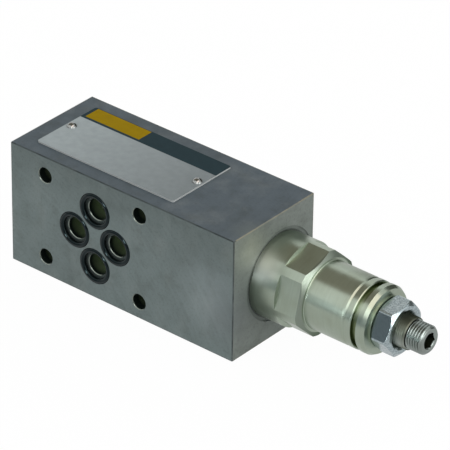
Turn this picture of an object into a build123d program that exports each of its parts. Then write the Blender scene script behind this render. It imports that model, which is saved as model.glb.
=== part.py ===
from build123d import *
import math
import os

# A stacking (sandwich) relief valve with an NG6 port pattern. All sizes are in millimetres.
# The origin is the middle of the bolt pattern on the face with the port seals. +X runs along
# the block towards the adjuster, +Y through the block away from the seals, and +Z is up.

# Valve body
BLOCK_LENGTH = 95.0
BLOCK_HEIGHT = 45.0
BLOCK_THICKNESS = 40.0
LEFT_END_TO_PATTERN = 35.3
EDGE_BREAK = 0.2

# Bolt pattern: two columns of two clearance holes for M5
BOLT_HOLE_DIAMETER = 5.5
BOLT_COLUMN_SPACING = 40.5
LEFT_BOLT_SPACING = 31.0
RIGHT_BOLT_SPACING = 32.5

# Ports, placed from the middle of the bolt pattern
PORT_DIAMETER = 7.5
PRESSURE_PORT_X = 1.25
PRESSURE_PORT_RISE = 10.4
TANK_PORT_X = 1.25
TANK_PORT_DROP = 10.4
PORT_A_X = -7.55
PORT_B_X = 9.95

# Port seals: O-rings in counterbores on the seal face
PORT_SEAL_SECTION = 1.78
PORT_SEAL_INNER_DIAMETER = 9.25
PORT_SEAL_STAND_OUT = 0.4
PORT_SEAL_SIDE_GAP = 0.05

# Fits that many pieces share
SEAT_GAP = 0.02
SLIDING_GAP = 0.05
THREAD_GAP = 0.1

# Cartridge axis: depth behind the seal face, in the middle of the block's height
AXIS_DEPTH = 23.2

# Cartridge cavity, drilled from the right end face
RECESS_DIAMETER = 32.8
RECESS_DEPTH = 0.35
TANK_CHAMBER_DIAMETER = 22.4
NOSE_CHAMBER_DIAMETER = 12.0
NOSE_CHAMBER_LENGTH = 7.3
DRILL_POINT_LENGTH = 1.6
GALLERY_DIAMETER = 4.0
PRESSURE_GALLERY_REACH = 3.8
PRESSURE_GALLERY_DROP = 7.4

# Adjuster cap, outside
CAP_DIAMETER = 29.6
CAP_COLLAR_LENGTH = 9.8
CAP_ACROSS_FLATS = 27.0
CAP_FLAT_LENGTH = 8.4
CAP_FLAT_RUN_IN = 0.3
CAP_FLAT_ANGLE = 46.0
CAP_NOSE_DIAMETER = 25.4
CAP_NOSE_LENGTH = 1.2
BARREL_DIAMETER = 23.6
BARREL_LENGTH = 16.1
BARREL_ROOT_RADIUS = 0.3
SNAP_LEAD_LENGTH = 0.85
SNAP_LEAD_DEPTH = 0.12
SNAP_RAMP_LENGTH = 0.9
SNAP_RAMP_DEPTH = 0.6
BAND_LENGTH = 2.35
BAND_CHAMFER_LENGTH = 0.35
BAND_CHAMFER_DEPTH = 0.2
RING_GROOVE_WIDTH = 2.2
RING_GROOVE_DIAMETER = 21.2
FRONT_BAND_LENGTH = 1.75
FRONT_CHAMFER_LENGTH = 1.3
FRONT_CHAMFER_DEPTH = 0.75
CAP_BOSS_DIAMETER = 17.4
CAP_BOSS_LENGTH = 0.55

# Adjuster cap, inside and mounting thread
CAP_BORE_DIAMETER = 16.8
CAP_END_WALL = 8.3
MOUNTING_THREAD_DIAMETER = 25.0
MOUNTING_THREAD_LENGTH = 11.25
CAP_RELIEF_DIAMETER = 24.0
CAP_SEAL_SECTION = 1.9
CAP_SEAL_SQUEEZE_SPACE = 2.0

# Cartridge sleeve
SLEEVE_NOSE_DIAMETER = 14.0
SLEEVE_NOSE_LENGTH = 8.0
SLEEVE_FLANGE_DIAMETER = 20.4
SLEEVE_FLANGE_LENGTH = 1.8
SLEEVE_BODY_DIAMETER = 16.0
SLEEVE_BODY_LENGTH = 9.0
SLEEVE_SPIGOT_LENGTH = 3.2
SLEEVE_BORE_DIAMETER = 11.2
SLEEVE_BORE_DEPTH = 0.8
SLEEVE_WINDOW_DIAMETER = 4.4
SLEEVE_WINDOW_COUNT = 4
SLEEVE_SEAL_DEPTH = 1.45
SLEEVE_SEAL_WIDTH = 1.9
BACKUP_RING_WIDTH = 0.9

# Valve seat and poppet
SEAT_DIAMETER = 8.4
SEAT_LENGTH = 6.4
SEAT_BORE_DIAMETER = 4.0
SEAT_CHAMFER = 0.6
SEAT_ENTRY_DIAMETER = 5.4
SEAT_ENTRY_LENGTH = 1.2
POPPET_TIP_LENGTH = 1.8
POPPET_CONE_HALF_ANGLE = 30.0
POPPET_HEAD_DIAMETER = 6.8
POPPET_HEAD_LENGTH = 2.2
POPPET_STEM_DIAMETER = 4.4
POPPET_STEM_LENGTH = 6.6
POPPET_GUIDE_LENGTH = 4.2
POPPET_RING_COUNT = 2
POPPET_RING_WIDTH = 0.5
POPPET_RING_DEPTH = 0.3
POPPET_PIN_DIAMETER = 3.8
POPPET_PIN_LENGTH = 4.9

# Front spring guide, spring and adjusting piston
GUIDE_LIFT = 0.5
GUIDE_DIAMETER = 15.4
GUIDE_FLANGE_LENGTH = 2.4
SPRING_WIRE_DIAMETER = 2.4
SPRING_OUTER_DIAMETER = 13.2
SPRING_TURNS = 7.0
SPRING_SEAT_LENGTH = 3.2
SPRING_SEAT_CHAMFER = 0.8
SPRING_SEAT_GAP = 0.2
PISTON_LENGTH = 7.5
PISTON_SEAL_DEPTH = 1.45
PISTON_SEAL_WIDTH = 2.2
PISTON_SEAL_OFFSET = 2.6
PISTON_CHAMFER = 0.4
STOP_GAP = 0.05

# Adjusting screw
SCREW_DIAMETER = 11.1
SCREW_TIP_DIAMETER = 9.0
SCREW_TIP_LENGTH = 2.0
SCREW_SHOULDER_OUT = 10.65
SCREW_SHOULDER_CHAMFER = 0.35
UNDERCUT_DIAMETER = 8.7
UNDERCUT_LENGTH = 0.4
SCREW_FRONT_DIAMETER = 9.9
SCREW_FRONT_LENGTH = 5.0
SCREW_FRONT_CHAMFER = 0.75
SOCKET_ACROSS_FLATS = 5.0
SOCKET_DEPTH = 5.5
SOCKET_ANGLE = 45.0
SOCKET_CHAMFER = 0.25

# Lock nut
NUT_ACROSS_FLATS = 16.8
NUT_THICKNESS = 7.1
NUT_CORNER_CUT = 0.22
NUT_BACK_DIAMETER = 15.2
NUT_BACK_CHAMFER_ANGLE = 30.0
NUT_FRONT_DIAMETER = 16.0
NUT_FRONT_CHAMFER_ANGLE = 36.0
NUT_COUNTERSINK_DIAMETER = 13.8
NUT_COUNTERSINK_DEPTH = 1.1
NUT_ANGLE = 7.0
NUT_GAP = 0.05

# Nameplate and its drive pins
PLATE_LENGTH = 58.4
PLATE_WIDTH = 28.9
PLATE_THICKNESS = 0.6
PLATE_CORNER_RADIUS = 0.8
PLATE_LEFT_INSET = 6.7
PIN_INSET = 2.2
PIN_HEAD_DIAMETER = 3.5
PIN_HEAD_HEIGHT = 1.2
PIN_SHANK_DIAMETER = 2.0
PIN_SHANK_LENGTH = 5.0
PIN_HOLE_GAP = 0.03

# Places that follow from the sizes above. Along the cartridge, a place is measured
# from the block's right end face, positive outwards.
LEFT_END = -LEFT_END_TO_PATTERN
RIGHT_END = LEFT_END + BLOCK_LENGTH
TOP = BLOCK_HEIGHT / 2
MIDDLE_DEPTH = BLOCK_THICKNESS / 2
PORTS = {
    "p": (PRESSURE_PORT_X, PRESSURE_PORT_RISE),
    "t": (TANK_PORT_X, -TANK_PORT_DROP),
    "a": (PORT_A_X, 0.0),
    "b": (PORT_B_X, 0.0),
}
BOLTS = [
    (side * BOLT_COLUMN_SPACING / 2, rise * spacing / 2)
    for side, spacing in ((-1, LEFT_BOLT_SPACING), (1, RIGHT_BOLT_SPACING))
    for rise in (-1, 1)
]
PORT_SEAL_POCKET_RADIUS = PORT_SEAL_INNER_DIAMETER / 2 + PORT_SEAL_SECTION + PORT_SEAL_SIDE_GAP
PORT_SEAL_POCKET_DEPTH = PORT_SEAL_SECTION + SEAT_GAP - PORT_SEAL_STAND_OUT

CAP_SEAT = -RECESS_DEPTH
CAP_INNER_END = CAP_SEAT - CAP_SEAL_SQUEEZE_SPACE - MOUNTING_THREAD_LENGTH
CAP_FLATS_START = CAP_COLLAR_LENGTH
CAP_FLATS_END = CAP_FLATS_START + CAP_FLAT_LENGTH
BARREL_START = CAP_FLATS_END + CAP_NOSE_LENGTH
BAND_START = BARREL_START + BARREL_LENGTH
SNAP_RAMP_START = BAND_START - SNAP_RAMP_LENGTH
RING_GROOVE_START = BAND_START + BAND_LENGTH
RING_GROOVE_END = RING_GROOVE_START + RING_GROOVE_WIDTH
FRONT_BAND_END = RING_GROOVE_END + FRONT_BAND_LENGTH
CAP_END_FACE = FRONT_BAND_END + FRONT_CHAMFER_LENGTH
CAP_OUTER_END = CAP_END_FACE + CAP_BOSS_LENGTH
CAP_BORE_END = CAP_OUTER_END - CAP_END_WALL

SLEEVE_SHOULDER = CAP_INNER_END - 2 * SLEEVE_FLANGE_LENGTH - SLEEVE_BODY_LENGTH
SLEEVE_NOSE_END = SLEEVE_SHOULDER - SLEEVE_NOSE_LENGTH
SLEEVE_SPIGOT_END = CAP_INNER_END + SLEEVE_SPIGOT_LENGTH
SLEEVE_WINDOWS = SLEEVE_SHOULDER + SLEEVE_FLANGE_LENGTH + SLEEVE_BODY_LENGTH / 2
SLEEVE_BORE_START = SLEEVE_SHOULDER - SLEEVE_BORE_DEPTH
SLEEVE_GROOVE_WIDTH = SLEEVE_SEAL_WIDTH + 2 * BACKUP_RING_WIDTH + 2 * SLIDING_GAP
SLEEVE_SEAL_PLACE = SLEEVE_SHOULDER - SLEEVE_NOSE_LENGTH / 2
LAND_RADIUS = SLEEVE_NOSE_DIAMETER / 2 + SEAT_GAP
LAND_END = SLEEVE_NOSE_END - SLIDING_GAP
CAVITY_END = LAND_END - NOSE_CHAMBER_LENGTH
THREAD_BORE_RADIUS = MOUNTING_THREAD_DIAMETER / 2 + THREAD_GAP
CAP_SEAL_POCKET_RADIUS = CAP_RELIEF_DIAMETER / 2 + CAP_SEAL_SQUEEZE_SPACE

SEAT_FACE = SLEEVE_BORE_START - SEAT_CHAMFER
SEAT_EDGE = SEAT_FACE - SEAT_CHAMFER
SEAT_BACK = SEAT_FACE - SEAT_LENGTH
POPPET_TIP = SEAT_EDGE - POPPET_TIP_LENGTH
CONE_SLOPE = math.tan(math.radians(POPPET_CONE_HALF_ANGLE))
POPPET_TIP_RADIUS = SEAT_BORE_DIAMETER / 2 - SEAT_GAP - CONE_SLOPE * POPPET_TIP_LENGTH
POPPET_CONE_END = POPPET_TIP + (POPPET_HEAD_DIAMETER / 2 - POPPET_TIP_RADIUS) / CONE_SLOPE
POPPET_HEAD_END = POPPET_CONE_END + POPPET_HEAD_LENGTH
POPPET_STEM_END = POPPET_HEAD_END + POPPET_STEM_LENGTH
POPPET_GUIDE_END = POPPET_STEM_END + POPPET_GUIDE_LENGTH
GUIDE_BACK = SLEEVE_SPIGOT_END + GUIDE_LIFT
POPPET_PIN_END = GUIDE_BACK + GUIDE_FLANGE_LENGTH

SPRING_FRONT = GUIDE_BACK + GUIDE_FLANGE_LENGTH
PISTON_REAR = CAP_BORE_END - STOP_GAP
SPRING_REAR = PISTON_REAR - PISTON_LENGTH
SPRING_MEAN_RADIUS = (SPRING_OUTER_DIAMETER - SPRING_WIRE_DIAMETER) / 2
SPRING_SEAT_RADIUS = SPRING_MEAN_RADIUS - SPRING_WIRE_DIAMETER / 2 - SPRING_SEAT_GAP
PISTON_RADIUS = CAP_BORE_DIAMETER / 2 - SLIDING_GAP

SCREW_INNER_END = PISTON_REAR + SEAT_GAP
SCREW_SHOULDER = CAP_OUTER_END + SCREW_SHOULDER_OUT
SCREW_FRONT_START = SCREW_SHOULDER + UNDERCUT_LENGTH
SCREW_OUTER_END = SCREW_FRONT_START + SCREW_FRONT_LENGTH + SCREW_FRONT_CHAMFER
NUT_INNER_FACE = CAP_OUTER_END + NUT_GAP
SCREW_HOLE_RADIUS = SCREW_DIAMETER / 2 + THREAD_GAP


def on_axis(piece):
    """Moves a piece from its own axis, X through the origin, to the cartridge axis."""
    return Pos(RIGHT_END, AXIS_DEPTH, 0) * piece


def turned(points):
    """A piece turned about X from its profile of (place along X, radius) points."""
    return revolve(make_face(Polyline(*points, close=True)), Axis.X)


def ring(inner_radius, outer_radius, start, end):
    """A plain ring about X."""
    profile = [(start, inner_radius), (end, inner_radius), (end, outer_radius), (start, outer_radius)]
    return turned(profile)


def o_ring(mean_radius, section_diameter, place):
    """An O-ring about X with its middle at a place along X."""
    return Pos(place, 0, 0) * Rot(0, 90, 0) * Torus(mean_radius, section_diameter / 2)


def drilled(start, end, diameter):
    """A round drilling from one point to another."""
    run = Vector(*end) - Vector(*start)
    tool = Cylinder(diameter / 2, run.length, align=(Align.CENTER, Align.CENTER, Align.MIN))
    return Plane(origin=start, z_dir=run) * tool


def hexagon(across_flats, corner_angle, start, end):
    """A hexagonal bar about X. Corner angles run from +Y towards +Z."""
    corner_radius = across_flats / 2 / math.cos(math.radians(30))
    angles = [math.radians(corner_angle + 60 * n) for n in range(6)]
    corners = [(corner_radius * math.cos(a), corner_radius * math.sin(a)) for a in angles]
    outline = Plane.YZ * make_face(Polyline(*corners, close=True))
    return extrude(Pos(start, 0, 0) * outline, end - start, dir=(1, 0, 0))


def cavity():
    """The stepped cavity that takes the cartridge, from the recess down to the nose chamber."""
    pocket_floor = CAP_SEAT - CAP_SEAL_SQUEEZE_SPACE
    chamber = TANK_CHAMBER_DIAMETER / 2
    nose = NOSE_CHAMBER_DIAMETER / 2
    profile = [
        (0, 0),
        (0, RECESS_DIAMETER / 2),
        (CAP_SEAT, RECESS_DIAMETER / 2),
        (CAP_SEAT, CAP_SEAL_POCKET_RADIUS),
        (pocket_floor, CAP_SEAL_POCKET_RADIUS),
        (pocket_floor, THREAD_BORE_RADIUS),
        (CAP_INNER_END, THREAD_BORE_RADIUS),
        (CAP_INNER_END, chamber),
        (SLEEVE_SHOULDER, chamber),
        (SLEEVE_SHOULDER, LAND_RADIUS),
        (LAND_END, LAND_RADIUS),
        (LAND_END, nose),
        (CAVITY_END, nose),
        (CAVITY_END - DRILL_POINT_LENGTH, 0),
    ]
    return on_axis(turned(profile))


def galleries():
    """The two drillings that are made through the cavity's mouth."""
    p_x, p_z = PORTS["p"]
    t_x, t_z = PORTS["t"]
    nose = (RIGHT_END + LAND_END - PRESSURE_GALLERY_REACH, AXIS_DEPTH, p_z - PRESSURE_GALLERY_DROP)
    mouth = (RIGHT_END + CAP_INNER_END + GALLERY_DIAMETER, AXIS_DEPTH, t_z)
    pressure = drilled((p_x, AXIS_DEPTH, p_z), nose, GALLERY_DIAMETER)
    tank = drilled((t_x, AXIS_DEPTH, t_z), mouth, GALLERY_DIAMETER)
    return [pressure, tank]


def pin_places():
    """The two drive pins, on the nameplate's middle line."""
    left = LEFT_END + PLATE_LEFT_INSET + PIN_INSET
    right = LEFT_END + PLATE_LEFT_INSET + PLATE_LENGTH - PIN_INSET
    return {"left": left, "right": right}


def valve_body():
    """The machined block with its ports, bolt holes, cavity, galleries and pin holes."""
    block = Box(BLOCK_LENGTH, BLOCK_THICKNESS, BLOCK_HEIGHT, align=(Align.MIN, Align.MIN, Align.CENTER))
    block = Pos(LEFT_END, 0, 0) * chamfer(block.edges(), EDGE_BREAK)
    cuts = [cavity()] + galleries()
    for x, z in BOLTS:
        cuts.append(drilled((x, 0, z), (x, BLOCK_THICKNESS, z), BOLT_HOLE_DIAMETER))
    for x, z in PORTS.values():
        cuts.append(drilled((x, 0, z), (x, BLOCK_THICKNESS, z), PORT_DIAMETER))
        cuts.append(drilled((x, 0, z), (x, PORT_SEAL_POCKET_DEPTH, z), 2 * PORT_SEAL_POCKET_RADIUS))
    for x in pin_places().values():
        foot = (x, MIDDLE_DEPTH, TOP - PIN_SHANK_LENGTH - PIN_HOLE_GAP)
        cuts.append(drilled((x, MIDDLE_DEPTH, TOP), foot, PIN_SHANK_DIAMETER + 2 * PIN_HOLE_GAP))
    return block - cuts


def port_seal(name):
    """One O-ring, seated on the floor of its counterbore and standing a little proud of the face."""
    x, z = PORTS[name]
    mean_radius = (PORT_SEAL_INNER_DIAMETER + PORT_SEAL_SECTION) / 2
    middle = PORT_SEAL_SECTION / 2 - PORT_SEAL_STAND_OUT
    return Pos(x, middle, z) * Rot(90, 0, 0) * Torus(mean_radius, PORT_SEAL_SECTION / 2)


def nameplate():
    """The thin plate on the top face, with a hole for each drive pin."""
    outline = RectangleRounded(PLATE_LENGTH, PLATE_WIDTH, PLATE_CORNER_RADIUS)
    plate = extrude(outline, PLATE_THICKNESS)
    plate = Pos(LEFT_END + PLATE_LEFT_INSET + PLATE_LENGTH / 2, MIDDLE_DEPTH, TOP) * plate
    hole = PIN_SHANK_DIAMETER + 2 * PIN_HOLE_GAP
    for x in pin_places().values():
        plate -= drilled((x, MIDDLE_DEPTH, TOP), (x, MIDDLE_DEPTH, TOP + PLATE_THICKNESS), hole)
    return plate


def nameplate_pin(side):
    """A drive pin: a plain shank under a round head."""
    head = PIN_HEAD_DIAMETER / 2
    dome_radius = (head**2 + PIN_HEAD_HEIGHT**2) / (2 * PIN_HEAD_HEIGHT)
    dome = Pos(0, 0, PIN_HEAD_HEIGHT - dome_radius) * Sphere(dome_radius)
    dome = split(dome, Plane.XY, keep=Keep.TOP)
    seat = TOP + PLATE_THICKNESS
    shank_length = PIN_SHANK_LENGTH + PLATE_THICKNESS
    shank = Cylinder(PIN_SHANK_DIAMETER / 2, shank_length, align=(Align.CENTER, Align.CENTER, Align.MAX))
    return Pos(pin_places()[side], MIDDLE_DEPTH, seat) * (dome + shank)


def adjuster_cap():
    """The turned cap: mounting thread, collar, wrench flats, barrel, snap ramp, ring groove, bore."""
    cap = CAP_DIAMETER / 2
    barrel = BARREL_DIAMETER / 2
    groove = RING_GROOVE_DIAMETER / 2
    boss = CAP_BOSS_DIAMETER / 2
    bore = CAP_BORE_DIAMETER / 2
    thread = MOUNTING_THREAD_DIAMETER / 2
    relief = CAP_RELIEF_DIAMETER / 2
    profile = make_face(
        Polyline(
            (CAP_INNER_END, bore),
            (CAP_INNER_END, thread - EDGE_BREAK),
            (CAP_INNER_END + EDGE_BREAK, thread),
            (CAP_SEAT - CAP_SEAL_SQUEEZE_SPACE, thread),
            (CAP_SEAT - CAP_SEAL_SQUEEZE_SPACE, relief),
            (CAP_SEAT, relief),
            (CAP_SEAT, cap),
            (CAP_FLATS_END, cap),
            (BARREL_START, CAP_NOSE_DIAMETER / 2),
            (BARREL_START, barrel),
            (SNAP_RAMP_START - SNAP_LEAD_LENGTH, barrel),
            (SNAP_RAMP_START, barrel - SNAP_LEAD_DEPTH),
            (BAND_START, barrel - SNAP_RAMP_DEPTH),
            (BAND_START, barrel),
            (RING_GROOVE_START - BAND_CHAMFER_LENGTH, barrel),
            (RING_GROOVE_START, barrel - BAND_CHAMFER_DEPTH),
            (RING_GROOVE_START, groove),
            (RING_GROOVE_END, groove),
            (RING_GROOVE_END, barrel),
            (FRONT_BAND_END, barrel),
            (CAP_END_FACE, barrel - FRONT_CHAMFER_DEPTH),
            (CAP_END_FACE, boss),
            (CAP_OUTER_END, boss),
            (CAP_OUTER_END, SCREW_HOLE_RADIUS),
            (CAP_BORE_END, SCREW_HOLE_RADIUS),
            (CAP_BORE_END, bore),
            close=True,
        )
    )
    root = profile.vertices().sort_by_distance((BARREL_START, barrel, 0))[0]
    profile = fillet(root, BARREL_ROOT_RADIUS)
    body = revolve(profile, Axis.X)
    return on_axis(body - flats_waste())


def flats_waste():
    """What the milling of the six wrench flats takes off the cap, with a sloped rear wall."""
    inner = BARREL_DIAMETER / 2 + EDGE_BREAK
    run_in_end = CAP_FLATS_START + CAP_FLAT_RUN_IN
    waste = turned(
        [
            (run_in_end, inner),
            (run_in_end, CAP_ACROSS_FLATS / 2),
            (CAP_FLATS_START, CAP_DIAMETER / 2),
            (CAP_FLATS_START, CAP_DIAMETER),
            (BARREL_START, CAP_DIAMETER),
            (BARREL_START, inner),
        ]
    )
    return waste - hexagon(CAP_ACROSS_FLATS, CAP_FLAT_ANGLE + 30, CAP_FLATS_START, BARREL_START)


def cap_seal():
    """The O-ring under the cap, between the body and the cap's relief."""
    mean_radius = CAP_SEAL_POCKET_RADIUS - CAP_SEAL_SQUEEZE_SPACE / 2
    return on_axis(o_ring(mean_radius, CAP_SEAL_SECTION, CAP_SEAT - CAP_SEAL_SQUEEZE_SPACE / 2))


def cartridge_sleeve():
    """The sleeve that the cap clamps against the cavity's shoulder."""
    nose = SLEEVE_NOSE_DIAMETER / 2
    flange = SLEEVE_FLANGE_DIAMETER / 2
    body = SLEEVE_BODY_DIAMETER / 2
    spigot = CAP_BORE_DIAMETER / 2 - SLIDING_GAP
    bore = SLEEVE_BORE_DIAMETER / 2
    seat_bore = SEAT_DIAMETER / 2 + SEAT_GAP
    groove = LAND_RADIUS - SLEEVE_SEAL_DEPTH
    groove_start = SLEEVE_SEAL_PLACE - SLEEVE_GROOVE_WIDTH / 2
    groove_end = SLEEVE_SEAL_PLACE + SLEEVE_GROOVE_WIDTH / 2
    profile = [
        (SLEEVE_NOSE_END, seat_bore),
        (SLEEVE_NOSE_END, nose - EDGE_BREAK),
        (SLEEVE_NOSE_END + EDGE_BREAK, nose),
        (groove_start, nose),
        (groove_start, groove),
        (groove_end, groove),
        (groove_end, nose),
        (SLEEVE_SHOULDER, nose),
        (SLEEVE_SHOULDER, flange),
        (SLEEVE_SHOULDER + SLEEVE_FLANGE_LENGTH, flange),
        (SLEEVE_SHOULDER + SLEEVE_FLANGE_LENGTH, body),
        (CAP_INNER_END - SLEEVE_FLANGE_LENGTH, body),
        (CAP_INNER_END - SLEEVE_FLANGE_LENGTH, flange),
        (CAP_INNER_END, flange),
        (CAP_INNER_END, spigot),
        (SLEEVE_SPIGOT_END, spigot),
        (SLEEVE_SPIGOT_END, bore),
        (SLEEVE_BORE_START, bore),
        (SLEEVE_BORE_START, seat_bore),
    ]
    sleeve = turned(profile)
    for n in range(SLEEVE_WINDOW_COUNT):
        window = drilled((0, 0, 0), (0, SLEEVE_BODY_DIAMETER, 0), SLEEVE_WINDOW_DIAMETER)
        sleeve -= Pos(SLEEVE_WINDOWS, 0, 0) * Rot(360 * n / SLEEVE_WINDOW_COUNT, 0, 0) * window
    return on_axis(sleeve)


def sleeve_seal():
    """The O-ring between the pressure side and the tank side of the sleeve."""
    mean_radius = LAND_RADIUS - SLEEVE_SEAL_DEPTH / 2
    return on_axis(o_ring(mean_radius, SLEEVE_SEAL_DEPTH - 2 * SEAT_GAP, SLEEVE_SEAL_PLACE))


def backup_ring(side):
    """A flat ring beside the sleeve seal; side is -1 towards the nose and 1 away from it."""
    inner = LAND_RADIUS - SLEEVE_SEAL_DEPTH + SEAT_GAP
    outer = LAND_RADIUS - SEAT_GAP
    middle = SLEEVE_SEAL_PLACE + side * (SLEEVE_SEAL_WIDTH + BACKUP_RING_WIDTH) / 2
    return on_axis(ring(inner, outer, middle - BACKUP_RING_WIDTH / 2, middle + BACKUP_RING_WIDTH / 2))


def valve_seat():
    """The hardened seat in the sleeve's nose, with a chamfered edge that the cone closes."""
    outer = SEAT_DIAMETER / 2
    bore = SEAT_BORE_DIAMETER / 2
    profile = [
        (SEAT_BACK, SEAT_ENTRY_DIAMETER / 2),
        (SEAT_BACK, outer),
        (SEAT_FACE, outer),
        (SEAT_FACE, bore + SEAT_CHAMFER),
        (SEAT_EDGE, bore),
        (SEAT_BACK + SEAT_ENTRY_LENGTH, bore),
    ]
    return on_axis(turned(profile))


def poppet():
    """The poppet: closing cone, stem, grooved guide and the pin that carries the spring guide."""
    head = POPPET_HEAD_DIAMETER / 2
    stem = POPPET_STEM_DIAMETER / 2
    guide = SLEEVE_BORE_DIAMETER / 2 - SLIDING_GAP
    pin = POPPET_PIN_DIAMETER / 2
    profile = [
        (POPPET_TIP, 0),
        (POPPET_TIP, POPPET_TIP_RADIUS),
        (POPPET_CONE_END, head),
        (POPPET_HEAD_END, head),
        (POPPET_HEAD_END, stem),
        (POPPET_STEM_END, stem),
        (POPPET_STEM_END, guide),
        (POPPET_GUIDE_END, guide),
        (POPPET_GUIDE_END, pin),
        (POPPET_PIN_END, pin),
        (POPPET_PIN_END, 0),
    ]
    body = turned(profile)
    for n in range(POPPET_RING_COUNT):
        middle = POPPET_STEM_END + POPPET_GUIDE_LENGTH * (n + 1) / (POPPET_RING_COUNT + 1)
        start = middle - POPPET_RING_WIDTH / 2
        root = guide - POPPET_RING_DEPTH
        body -= ring(root, guide + POPPET_RING_DEPTH, start, start + POPPET_RING_WIDTH)
    return on_axis(body)


def spring_seat(start, direction):
    """The boss that centres one end of the spring, with a chamfered end."""
    end = start + direction * SPRING_SEAT_LENGTH
    shoulder = end - direction * SPRING_SEAT_CHAMFER
    profile = [
        (start, 0),
        (start, SPRING_SEAT_RADIUS),
        (shoulder, SPRING_SEAT_RADIUS),
        (end, SPRING_SEAT_RADIUS - SPRING_SEAT_CHAMFER),
        (end, 0),
    ]
    return turned(profile)


def front_spring_guide():
    """The guide between the poppet's pin and the spring."""
    flange = GUIDE_DIAMETER / 2
    disc = ring(POPPET_PIN_DIAMETER / 2 + SEAT_GAP, flange, GUIDE_BACK, SPRING_FRONT)
    disc = chamfer(disc.edges().group_by(Axis.X)[0].sort_by(SortBy.RADIUS)[-1], EDGE_BREAK)
    return on_axis(disc + spring_seat(SPRING_FRONT, 1))


def pressure_spring():
    """The coil spring, with its ends ground flat on its two seats."""
    length = SPRING_REAR - SPRING_FRONT
    path = Helix(length / SPRING_TURNS, length, SPRING_MEAN_RADIUS, direction=(1, 0, 0))
    path = Pos(SPRING_FRONT, 0, 0) * path
    section = Plane(origin=path @ 0, z_dir=path % 0) * Circle(SPRING_WIRE_DIAMETER / 2)
    coil = sweep(section, path=path, is_frenet=True)
    room = ring(SPRING_SEAT_RADIUS, CAP_BORE_DIAMETER / 2, SPRING_FRONT, SPRING_REAR)
    return on_axis(coil & room)


def adjusting_piston():
    """The sealed piston between the adjusting screw and the spring."""
    groove = CAP_BORE_DIAMETER / 2 - PISTON_SEAL_DEPTH
    groove_start = SPRING_REAR + PISTON_SEAL_OFFSET
    groove_end = groove_start + PISTON_SEAL_WIDTH
    profile = [
        (SPRING_REAR, 0),
        (SPRING_REAR, PISTON_RADIUS - PISTON_CHAMFER),
        (SPRING_REAR + PISTON_CHAMFER, PISTON_RADIUS),
        (groove_start, PISTON_RADIUS),
        (groove_start, groove),
        (groove_end, groove),
        (groove_end, PISTON_RADIUS),
        (PISTON_REAR - PISTON_CHAMFER, PISTON_RADIUS),
        (PISTON_REAR, PISTON_RADIUS - PISTON_CHAMFER),
        (PISTON_REAR, 0),
    ]
    return on_axis(turned(profile) + spring_seat(SPRING_REAR, -1))


def piston_seal():
    """The O-ring of the adjusting piston."""
    mean_radius = CAP_BORE_DIAMETER / 2 - PISTON_SEAL_DEPTH / 2
    middle = SPRING_REAR + PISTON_SEAL_OFFSET + PISTON_SEAL_WIDTH / 2
    return on_axis(o_ring(mean_radius, PISTON_SEAL_DEPTH - 2 * SEAT_GAP, middle))


def adjusting_screw():
    """The stepped hollow-hexagon screw. Its two threads are plain cylinders here."""
    thread = SCREW_DIAMETER / 2
    tip = SCREW_TIP_DIAMETER / 2
    undercut = UNDERCUT_DIAMETER / 2
    front = SCREW_FRONT_DIAMETER / 2
    tip_end = SCREW_INNER_END + SCREW_TIP_LENGTH
    step = thread - tip
    profile = [
        (SCREW_INNER_END, 0),
        (SCREW_INNER_END, tip),
        (tip_end, tip),
        (tip_end + step, thread),
        (SCREW_SHOULDER - SCREW_SHOULDER_CHAMFER, thread),
        (SCREW_SHOULDER, thread - SCREW_SHOULDER_CHAMFER),
        (SCREW_SHOULDER, undercut),
        (SCREW_FRONT_START, undercut),
        (SCREW_FRONT_START, front),
        (SCREW_OUTER_END - SCREW_FRONT_CHAMFER, front),
        (SCREW_OUTER_END, front - SCREW_FRONT_CHAMFER),
        (SCREW_OUTER_END, 0),
    ]
    socket_floor = SCREW_OUTER_END - SOCKET_DEPTH
    corner = SOCKET_ACROSS_FLATS / 2 / math.cos(math.radians(30))
    drill_point = turned(
        [
            (socket_floor, 0),
            (socket_floor, SOCKET_ACROSS_FLATS / 2),
            (socket_floor - SOCKET_ACROSS_FLATS / 4, 0),
        ]
    )
    mouth = turned(
        [
            (SCREW_OUTER_END - SOCKET_CHAMFER, 0),
            (SCREW_OUTER_END - SOCKET_CHAMFER, corner - SOCKET_CHAMFER),
            (SCREW_OUTER_END, corner),
            (SCREW_OUTER_END, 0),
        ]
    )
    socket = hexagon(SOCKET_ACROSS_FLATS, SOCKET_ANGLE, socket_floor, SCREW_OUTER_END)
    return on_axis(turned(profile) - [socket, drill_point, mouth])


def lock_nut():
    """The hexagon nut: turned corners, chamfers on both sides, a countersink on the outer one."""
    outer_face = NUT_INNER_FACE + NUT_THICKNESS
    back = NUT_BACK_DIAMETER / 2
    front = NUT_FRONT_DIAMETER / 2
    corner = NUT_ACROSS_FLATS / 2 / math.cos(math.radians(30)) - NUT_CORNER_CUT
    back_bevel = (corner - back) * math.tan(math.radians(NUT_BACK_CHAMFER_ANGLE))
    front_bevel = (corner - front) * math.tan(math.radians(NUT_FRONT_CHAMFER_ANGLE))
    bevels = turned(
        [
            (NUT_INNER_FACE, SCREW_HOLE_RADIUS),
            (NUT_INNER_FACE, back),
            (NUT_INNER_FACE + back_bevel, corner),
            (outer_face - front_bevel, corner),
            (outer_face, front),
            (outer_face, NUT_COUNTERSINK_DIAMETER / 2),
            (outer_face - NUT_COUNTERSINK_DEPTH, SCREW_HOLE_RADIUS),
        ]
    )
    return on_axis(hexagon(NUT_ACROSS_FLATS, NUT_ANGLE, NUT_INNER_FACE, outer_face) & bevels)


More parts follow.
